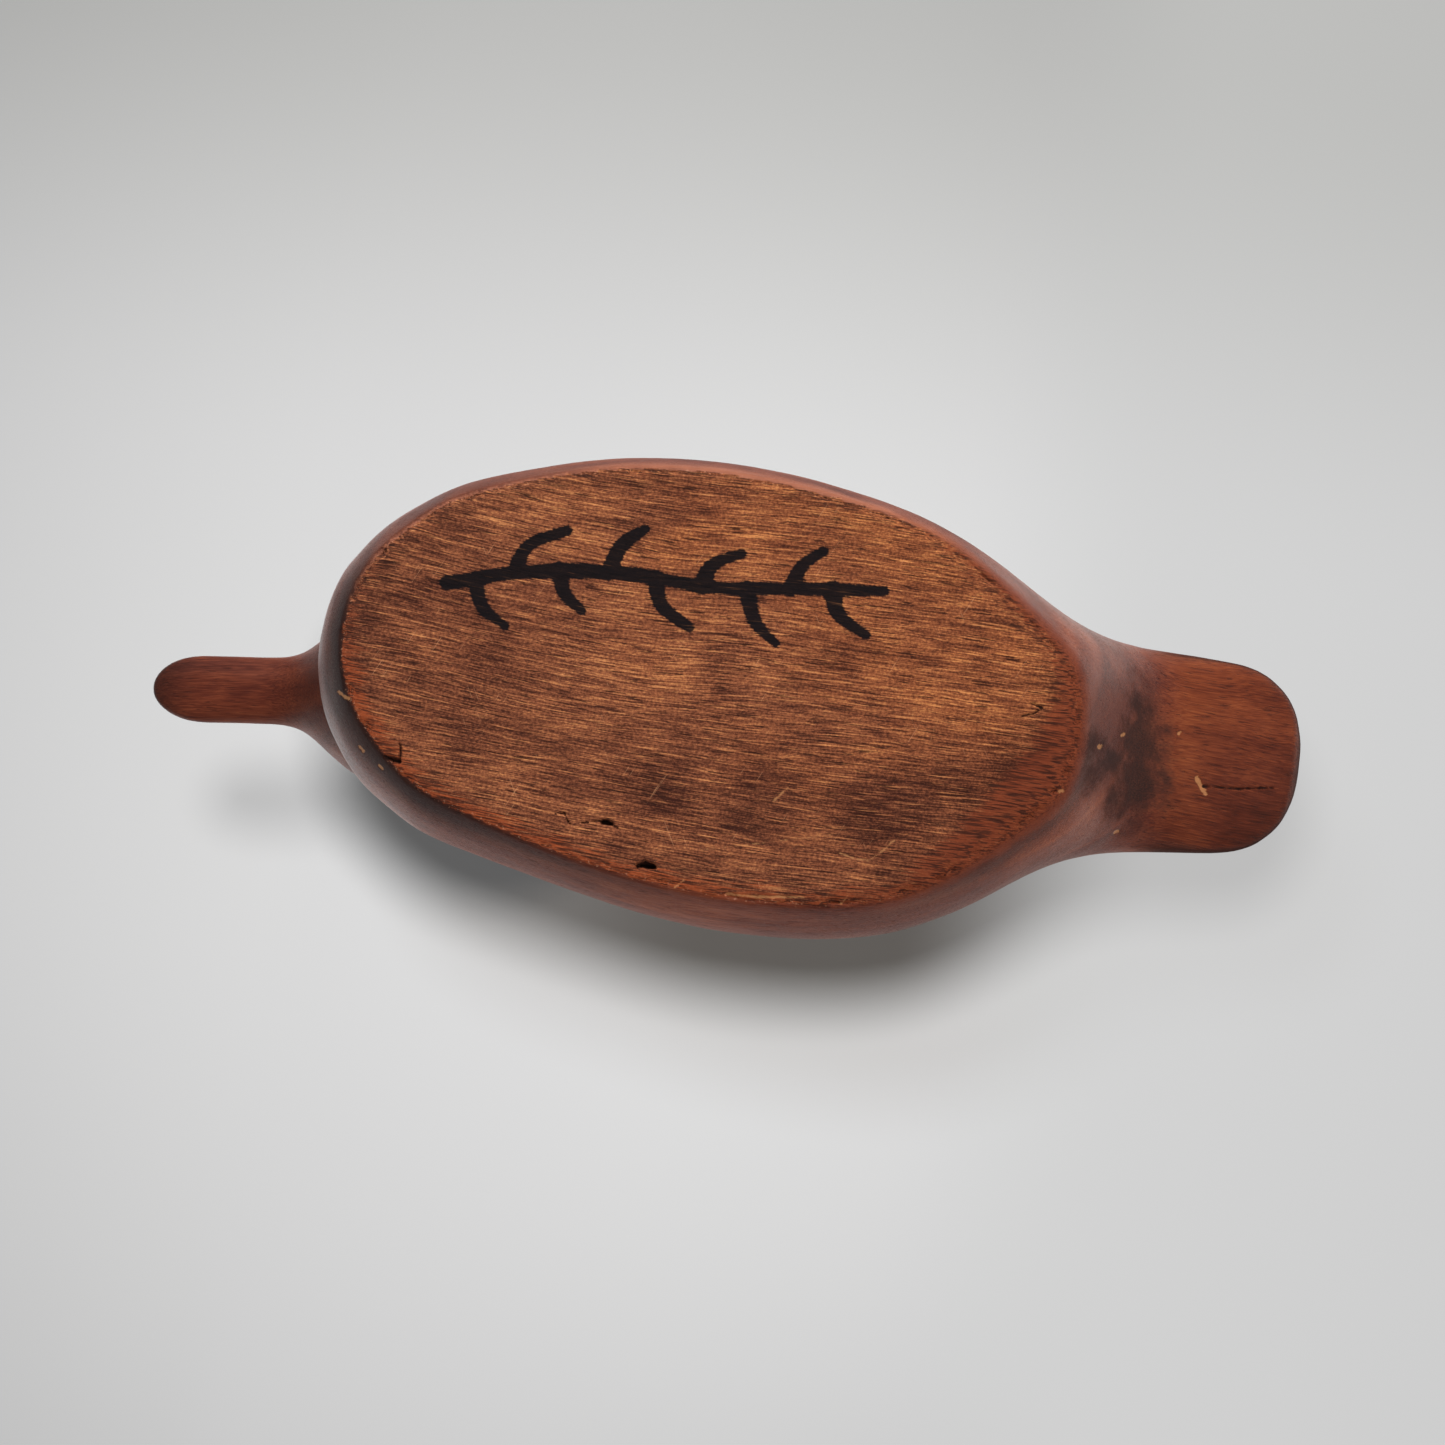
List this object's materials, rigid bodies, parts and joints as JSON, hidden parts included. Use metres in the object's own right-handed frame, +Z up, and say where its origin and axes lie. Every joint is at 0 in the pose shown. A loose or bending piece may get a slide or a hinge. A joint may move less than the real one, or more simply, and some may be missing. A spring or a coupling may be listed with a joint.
{
  "type": "carved wooden duck figure",
  "caption": "Hand-carved wooden duck figure with a flat oval base to stand on, a broad flat tail, a slightly turned head and bead eyes.",
  "frame": {"origin": "middle of the bounding box in plan, on the plane of the flat base", "axes": "+Z up from the base, the bill points along -Y and the tail along +Y, the duck's left side is +X"},
  "size_m": [0.062, 0.1684, 0.0785],
  "materials": {
    "stained_wood": "reddish brown stain under a satin oil finish, bare on the sanded base",
    "dowel_wood": "raw",
    "eye_bead": "polished black",
    "pin_steel": "drawn wire"
  },
  "bodies": {
    "root": {"body": "stained_wood", "head": "stained_wood", "neck_dowel": "dowel_wood", "eye_left": "eye_bead", "eye_right": "eye_bead", "eye_pin_left": "pin_steel", "eye_pin_right": "pin_steel"}
  },
  "joints": []
}
